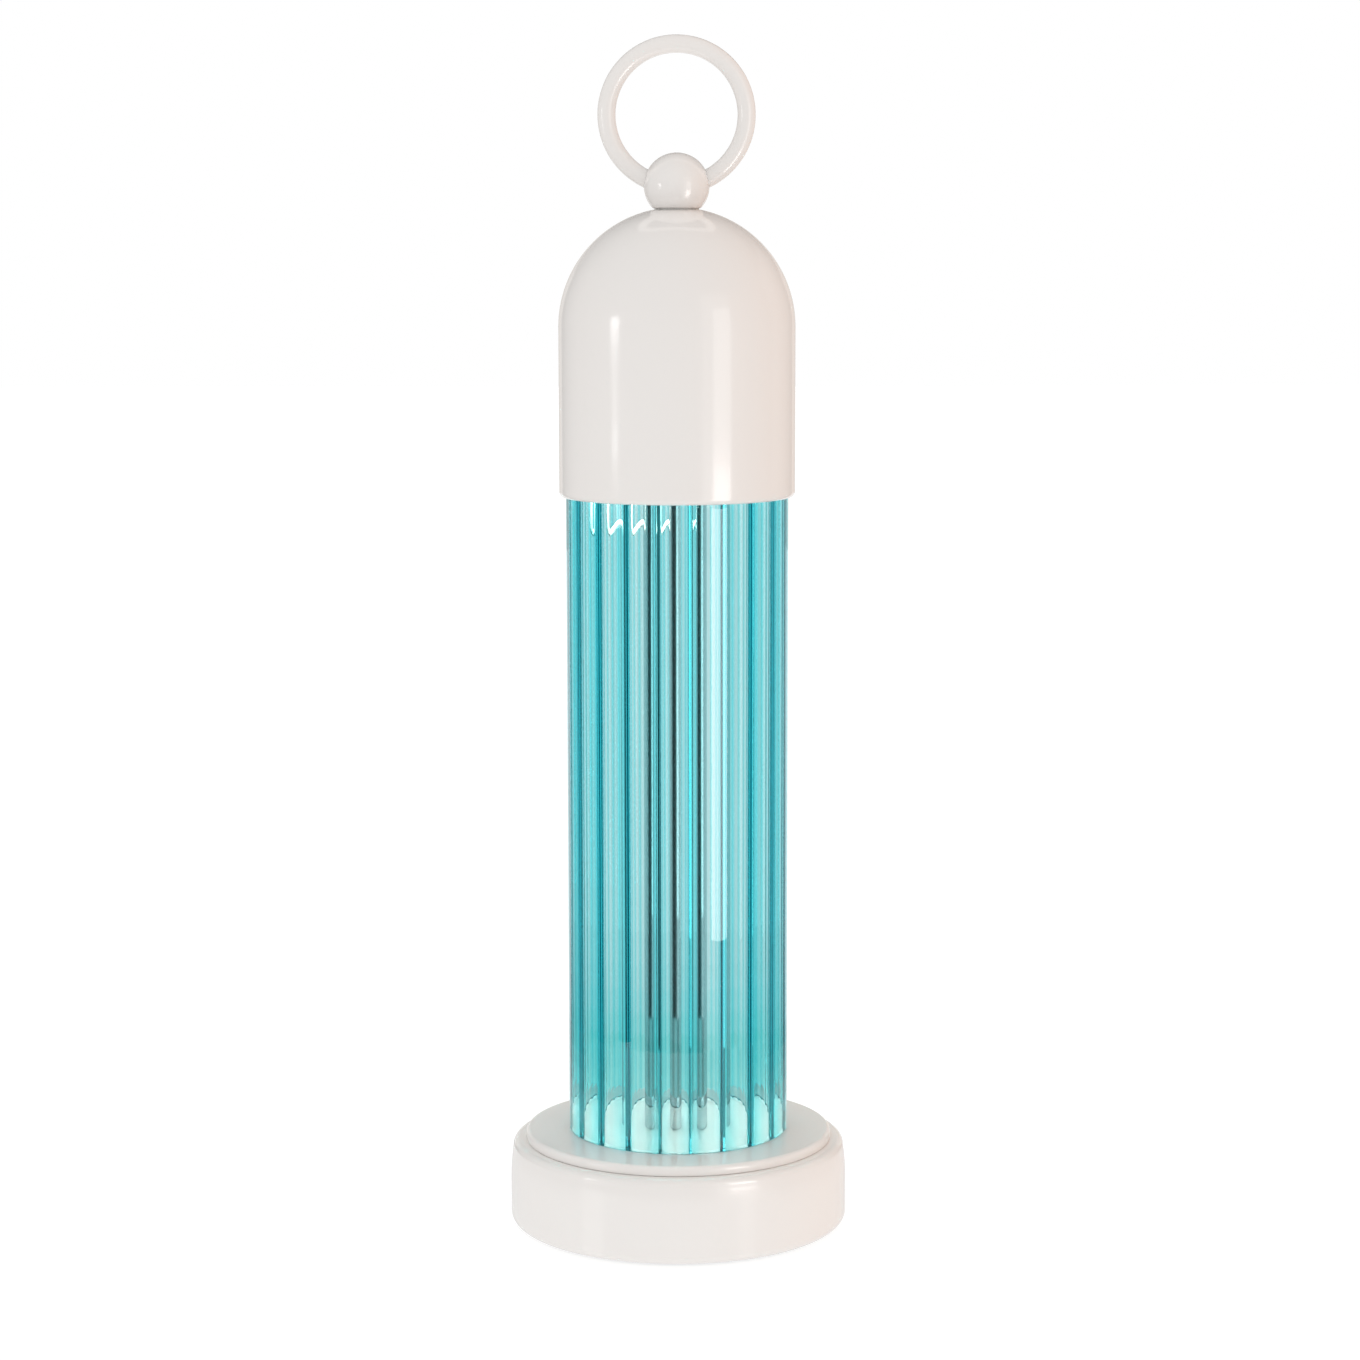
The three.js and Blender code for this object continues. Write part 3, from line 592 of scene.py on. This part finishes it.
piece(make_dome(), "lamp", LACQUER, "lacquer", "dome_shell")

ring_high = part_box("carry_ring")[1]
ROD_R = ring_high.y
RING_R = ring_high.x - ROD_R
RING_Z = ring_high.z - ring_high.x
BALL_Z0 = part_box("finial_ball")[0].z
BALL_R = 10.3 * MM
BALL_Z = RING_Z - RING_R
# Angles along the ring from its lowest point, in degrees: its ends, and the sockets that hold them.
RING_END = 15.0
SOCKET_FROM, SOCKET_TO = 13.0, 60.0
SOCKET_GAP = 0.12 * MM


def make_ball():
    start = math.degrees(math.asin((BALL_Z0 - BALL_Z) / BALL_R))
    rim, rim_angle = 0.25 * MM, 1.5
    seat_r = BALL_R * math.cos(math.radians(start))
    bore, bore_top = 4.08 * MM, BALL_Z + 2.6 * MM
    profile = [(0, bore_top), (bore, bore_top), (bore, BALL_Z0), (seat_r - rim, BALL_Z0)]
    profile += arc(0, BALL_Z, BALL_R, start + rim_angle, 90, 60)[:-1]
    profile += [(0, BALL_Z + BALL_R)]
    ball = lathe("ball_knob", profile, 128)
    sockets = []
    for side in (-1, 1):
        path = ring_arc(RING_R, RING_Z, side * SOCKET_FROM, side * SOCKET_TO, 24)
        sockets.append(tube_along(f"socket_{side}", path, ROD_R + SOCKET_GAP, 40))
    return cut(ball, *sockets, sharp=40.0)


piece(make_ball(), "finial", LACQUER, "lacquer", "finial_ball")
RING_PATH = ring_arc(RING_R, RING_Z, RING_END, 360.0 - RING_END, 220)
piece(tube_along("ring_handle", RING_PATH, ROD_R, 48), "finial", LACQUER, "lacquer", "carry_ring")


# --- Rear controls -------------------------------------------------------------------------------------

def make_button():
    low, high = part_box("power_button")
    centre = (low + high) / 2
    y_top = high.y
    r, flange_r, edge = 4.3 * MM, (high.x - low.x) / 2, 0.7 * MM
    stem_r, flange_y0, flange_y1 = 1.5 * MM, 47 * MM, 48.05 * MM
    profile = [(0, low.y), (stem_r, low.y), (stem_r, flange_y0), (flange_r, flange_y0)]
    profile += [(flange_r, flange_y1), (r, flange_y1)]
    profile += arc(r - edge, y_top - edge, edge, 0, 90, 8)
    # Its face is a shallow dish.
    profile += [(r - 1.1 * MM, y_top - 0.08 * MM), (r - 2.2 * MM, y_top - 0.22 * MM), (0, y_top - 0.3 * MM)]
    button = lathe("button_cap", profile, 96)
    place = Matrix.Translation((centre.x, 0, centre.z))
    button.data.transform(place @ Matrix.Rotation(-math.pi / 2, 4, "X"))
    return button


def make_power_mark():
    """The usual power sign, raised on the button: an open circle and a bar."""
    low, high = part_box("power_button")
    centre = (low + high) / 2
    y0, y1 = high.y - 0.5 * MM, high.y - 0.12 * MM
    half = 0.14 * MM
    bm = bmesh.new()

    def strip(points):
        rows = []
        for i, (x, z) in enumerate(points):
            (ax, az), (bx, bz) = points[max(i - 1, 0)], points[min(i + 1, len(points) - 1)]
            length = math.hypot(bx - ax, bz - az)
            nx, nz = -(bz - az) / length * half, (bx - ax) / length * half
            corners = ((x + nx, y0, z + nz), (x - nx, y0, z - nz),
                       (x - nx, y1, z - nz), (x + nx, y1, z + nz))
            rows.append([bm.verts.new((centre.x + cx, cy, centre.z + cz)) for cx, cy, cz in corners])
        for a, b in zip(rows, rows[1:]):
            for i in range(4):
                j = (i + 1) % 4
                bm.faces.new((a[i], a[j], b[j], b[i]))
        bm.faces.new(rows[0])
        bm.faces.new(rows[-1])

    strip(arc(0, 0, 1.35 * MM, 125, 415, 30))
    strip([(0, 0.35 * MM), (0, 1.0 * MM), (0, 1.75 * MM)])
    return finished("power_mark", bm)


piece(make_button(), "button", PANEL, "panel_plastic", "power_button")
piece(make_power_mark(), "button", BLACK, "black_plastic")
bevelled(dress("control_panel", PANEL), 0.25 * MM)
bevelled(dress("usb_c_socket", NICKEL), 0.06 * MM, 2)
for number in range(1, 4):
    bevelled(dress(f"cover_screw_{number}", ZINC), 0.12 * MM, 2)

CARRIED = {
    ZINC: ["lamp_pipe", "lower_washer", "lower_nut", "carrier_washer", "carrier_nut", "dome_washer",
           "dome_nut", "board_screw_left", "board_screw_right", "driver_inductor"],
    ALUMINIUM: ["led_carrier"],
    SILICONE: ["column_gasket_lower", "column_gasket_upper"],
    BLACK: ["cell_tray", "tact_switch", "switch_plunger", "driver_chip"],
    BOARD: ["control_board"],
    WHITE_MASK: ["led_board"],
    PHOSPHOR: [f"led_{i}" for i in range(1, 7)],
    OPAL: ["diffuser"],
    CHARGE_LENS: ["charge_light"],
    NICKEL: ["bus_strip", "terminal_left", "terminal_right"],
    WRAP: ["cell_left", "cell_right"],
    RED: ["battery_lead_right", "led_lead_right"],
    BLACK_WIRE: ["battery_lead_left", "led_lead_left"],
    NYLON: ["finial_washer"],
}
for material, nodes in CARRIED.items():
    for node in nodes:
        dress(node, material)


# --- Floor, light and camera ---------------------------------------------------------------------------

def card(name, corners, colour, strength, seen_by=("glossy", "transmission")):
    """A flat card that lights, or is mirrored in, what stands round it. Only the named rays see it."""
    mesh = bpy.data.meshes.new(name)
    mesh.from_pydata(corners, [], [(0, 1, 2, 3)])
    obj = bpy.data.objects.new(name, mesh)
    scene.collection.objects.link(obj)
    material = bpy.data.materials.new(name)
    material.use_nodes = True
    tree = material.node_tree
    tree.nodes.clear()
    emission = tree.nodes.new("ShaderNodeEmission")
    emission.inputs["Color"].default_value = (*colour, 1)
    emission.inputs["Strength"].default_value = strength
    output = tree.nodes.new("ShaderNodeOutputMaterial")
    tree.links.new(emission.outputs["Emission"], output.inputs["Surface"])
    mesh.materials.append(material)
    obj.visible_camera = "camera" in seen_by
    obj.visible_diffuse = "diffuse" in seen_by
    obj.visible_glossy = "glossy" in seen_by
    obj.visible_transmission = "transmission" in seen_by
    obj.visible_shadow = False
    return obj


def spot(azimuth, distance):
    """A place on the floor round the lamp. Azimuth 0 is in front of it, and 90 is on its right."""
    a = math.radians(azimuth)
    return distance * math.sin(a), -distance * math.cos(a)


def wall(name, azimuths, distance, heights, colour, strength, **options):
    """An upright card that faces the lamp, between two azimuths."""
    (x0, y0), (x1, y1) = [spot(azimuth, distance) for azimuth in azimuths]
    z0, z1 = heights
    return card(name, [(x0, y0, z0), (x1, y1, z0), (x1, y1, z1), (x0, y0, z1)], colour, strength, **options)


def floor_sheet(name, azimuths, distances, height, colour, strength, **options):
    """A card that lies on the floor, between two azimuths and two distances from the lamp."""
    (start, end), (near, far) = azimuths, distances
    places = (start, near), (end, near), (end, far), (start, far)
    corners = [(*spot(*place), height) for place in places]
    return card(name, corners, colour, strength, **options)


def square(half, z):
    """The corners of a level square round the lamp."""
    return [(-half, -half, z), (half, -half, z), (half, half, z), (-half, half, z)]


def make_floor():
    mesh = bpy.data.meshes.new("floor")
    mesh.from_pydata(square(6.0, 0), [], [(0, 1, 2, 3)])
    floor = bpy.data.objects.new("floor", mesh)
    scene.collection.objects.link(floor)
    n = Nodes("pale_floor")
    n.link(n.blend(n.noise(3.0), (0.3, 0.3, 0.3), (0.32, 0.32, 0.32)), n.shader.inputs["Base Color"])
    n.shader.inputs["Roughness"].default_value = 0.7
    n.shader.inputs["Specular IOR Level"].default_value = 0.1
    n.shader.inputs["Emission Color"].default_value = (1, 1, 1, 1)
    n.shader.inputs["Emission Strength"].default_value = 0.75
    mesh.materials.append(n.material)


make_floor()

world = bpy.data.worlds.new("studio")
world.use_nodes = True
world.node_tree.nodes["Background"].inputs["Color"].default_value = (1, 1, 1, 1)
world.node_tree.nodes["Background"].inputs["Strength"].default_value = 1.0
scene.world = world

WHITE = (1, 1, 1)
WARM = (1.0, 0.55, 0.28)
BEHIND = (1.0, 0.95, 0.9)
TABLE_BEHIND = 0.95
WALL_R = 2.4
WALL_TOP = 1.6
# The walls behind the lamp dim upward: lowest and highest height, and the share of their strength.
WALL_SHARES = [(0, 0.75, 1), (0.75, 1.1, 0.5), (1.1, WALL_TOP, 0.25)]
# Where the table's near part and its fade end, and how high the sheets that lie on it are.
TABLE_R, FADE_R, OVERLAP = 0.28, 0.44, 0.01
FAR_Z, MIRROR_Z, NEAR_Z, BAND_Z = 0.0006, 0.0007, 0.0008, 0.0012

# Azimuths, colour and strength of what stands round the lamp: as its surfaces mirror it, and as its glass
# shows it.
MIRRORED = [
    (-180, -150, BEHIND, 0.68),
    (-150, -105, WHITE, 0.12),
    (-105, -60, WHITE, 0.03),
    (-60, -30, WHITE, 0.05),
    (-30, 24, WHITE, 0.05),
    (54, 70, WARM, 0.25),
    (70, 105, WARM, 0.06),
    (105, 150, WHITE, 0.25),
    (150, 180, BEHIND, 0.68),
]
REFRACTED = [
    (-180, -150, WHITE, 0.84),
    (-150, -105, WHITE, 0.95),
    (-105, -60, WHITE, 0.8),
    (-60, -30, WHITE, 0.04),
    (-30, -6, WHITE, 0.04),
    (-6, 24, WHITE, 0.1),
    (54, 66, WHITE, 0.3),
    (66, 105, WHITE, 0.8),
    (105, 150, WHITE, 0.95),
    (150, 180, WHITE, 0.84),
]
for kind, studio in (("glossy", MIRRORED), ("transmission", REFRACTED)):
    for number, (start, end, colour, strength) in enumerate(studio):
        for z0, z1, share in WALL_SHARES if colour == BEHIND else [(0, WALL_TOP, 1)]:
            name = f"{kind}_wall_{number}_{z0}"
            wall(name, (start, end), WALL_R, (z0, z1), colour, strength * share, seen_by=(kind,))
        if colour == BEHIND:
            colour, strength = WHITE, TABLE_BEHIND
        # Where the glass shows a bright table, the fade comes first.
        begin = FADE_R if kind == "transmission" and strength > 0.5 else TABLE_R
        name = f"{kind}_table_{number}"
        floor_sheet(name, (start, end), (begin, WALL_R), FAR_Z, colour, strength, seen_by=(kind,))

# The glass shows a table that is tinted near the lamp, by the light that falls through the glass, and fades
# to white further out. Each ring has its two distances and its colour.
NEAR_RINGS = [
    (0.05, 0.19, (0.46, 0.73, 0.7)),
    (0.19, 0.25, (0.42, 0.71, 0.685)),
    (0.25, TABLE_R + OVERLAP, (0.52, 0.75, 0.74)),
]
FADE_RINGS = [
    (TABLE_R, 0.33, (0.63, 0.775, 0.775)),
    (0.33, 0.38, (0.72, 0.79, 0.79)),
    (0.38, FADE_R + OVERLAP, (0.78, 0.81, 0.81)),
]
# The surfaces mirror a white table, even in front and behind, and dimming outward at the sides: distances
# and strength.
MIRROR_EVEN = [(0.05, TABLE_R + OVERLAP, 0.8)]
MIRROR_FADE = [
    (0.05, 0.14, 0.8),
    (0.14, 0.17, 0.68),
    (0.17, 0.2, 0.56),
    (0.2, 0.23, 0.42),
    (0.23, 0.255, 0.3),
    (0.255, TABLE_R + OVERLAP, 0.2),
]
SECTOR = 15
FADED = [(60, 300)]
DIMMED = [(30, 60), (300, 330)]
SIDES = [(60, 150), (210, 300)]


def within(azimuth, spans):
    return any(start <= azimuth < end for start, end in spans)


for number in range(360 // SECTOR):
    start = number * SECTOR
    span = (start, start + SECTOR)
    rings = NEAR_RINGS + (FADE_RINGS if within(start, FADED) else [])
    share = 0.35 if within(start, DIMMED) else 1.0
    for ring_number, (near, far, colour) in enumerate(rings):
        name = f"near_table_{number}_{ring_number}"
        floor_sheet(name, span, (near, far), NEAR_Z, colour, share, seen_by=("transmission",))
    mirrored = MIRROR_FADE if within(start, SIDES) else MIRROR_EVEN
    for ring_number, (near, far, strength) in enumerate(mirrored):
        name = f"near_mirror_{number}_{ring_number}"
        floor_sheet(name, span, (near, far), MIRROR_Z, WHITE, strength, seen_by=("glossy",))
card("ceiling", square(2.5, WALL_TOP), WHITE, 0.05, seen_by=("glossy",))

# The bright strip on the right, and the window on the left, whose foot, middle and top meet at WINDOW_Z.
STRIP, STRIP_R, STRIP_SPLIT, STRIP_TOP = (34, 51), 0.5, 0.197, 0.44
STRIP_LIGHT = (1, 0.99, 0.97)
WINDOW_R, WINDOW_Z = 1.5, (0.1, 0.14, 0.245, 0.52)
wall("strip_low", STRIP, STRIP_R, (0, STRIP_SPLIT), (1, 0.93, 0.91), 6.4, seen_by=("glossy",))
wall("strip_high", STRIP, STRIP_R, (STRIP_SPLIT, STRIP_TOP), STRIP_LIGHT, 1.9, seen_by=("glossy",))
wall("strip_through", STRIP, STRIP_R, (0, STRIP_TOP), STRIP_LIGHT, 3.6, seen_by=("transmission",))
wall("strip_spill", (24, 54), 2.3, (0, WALL_TOP), STRIP_LIGHT, 0.6)
wall("window_top", (-66, -57), WINDOW_R, WINDOW_Z[2:4], WHITE, 5.5, seen_by=("glossy",))
wall("window_middle", (-64, -60), WINDOW_R, WINDOW_Z[1:3], WHITE, 1.0, seen_by=("glossy",))
wall("window_foot", (-65, -58), WINDOW_R, WINDOW_Z[0:2], WHITE, 5.0, seen_by=("glossy",))
wall("warm_side", (70, 130), 1.6, (0, 1.4), (1.0, 0.62, 0.42), 1.25, seen_by=("diffuse",))

BAND_REACH, BAND_STRENGTH = 0.25, 1.3


def mirrored_band(name, facings):
    """A sheet on the floor that the drum mirrors as an upright band, between two facings of its side."""
    near, far = [], []
    for facing in facings:
        a = math.radians(facing)
        x, y = DRUM_R * math.sin(a), -DRUM_R * math.cos(a)
        near.append((x, y, BAND_Z))
        far.append((x + BAND_REACH * math.sin(2 * a), y - BAND_REACH * math.cos(2 * a), BAND_Z))
    card(name, [near[0], near[1], far[1], far[0]], WHITE, BAND_STRENGTH, seen_by=("glossy",))


mirrored_band("strip_on_table", (20.5, 26.5))
mirrored_band("window_on_table", (-33.8, -25.9))

# The camera's place in metres, its lens and sensor in millimetres, and its tilt and roll in degrees.
CAMERA_SIDE, CAMERA_DISTANCE, CAMERA_HEIGHT = 0.0008, 1.05045, 0.31818
LENS, SENSOR = 87.8143235, 36
LOOK_DOWN, ROLL = 7.633, -0.09
camera_data = bpy.data.cameras.new("camera")
camera_data.sensor_width = SENSOR
camera_data.lens = LENS
camera = bpy.data.objects.new("camera", camera_data)
camera.location = (CAMERA_SIDE, -CAMERA_DISTANCE, CAMERA_HEIGHT)
tilt = Matrix.Rotation(math.radians(90 - LOOK_DOWN), 4, "X")
roll = Matrix.Rotation(math.radians(ROLL), 4, "Z")
camera.rotation_euler = (tilt @ roll).to_euler()
scene.collection.objects.link(camera)
scene.camera = camera
scene.view_settings.view_transform = "Standard"
scene.cycles.transmission_bounces = 24
scene.cycles.max_bounces = 32
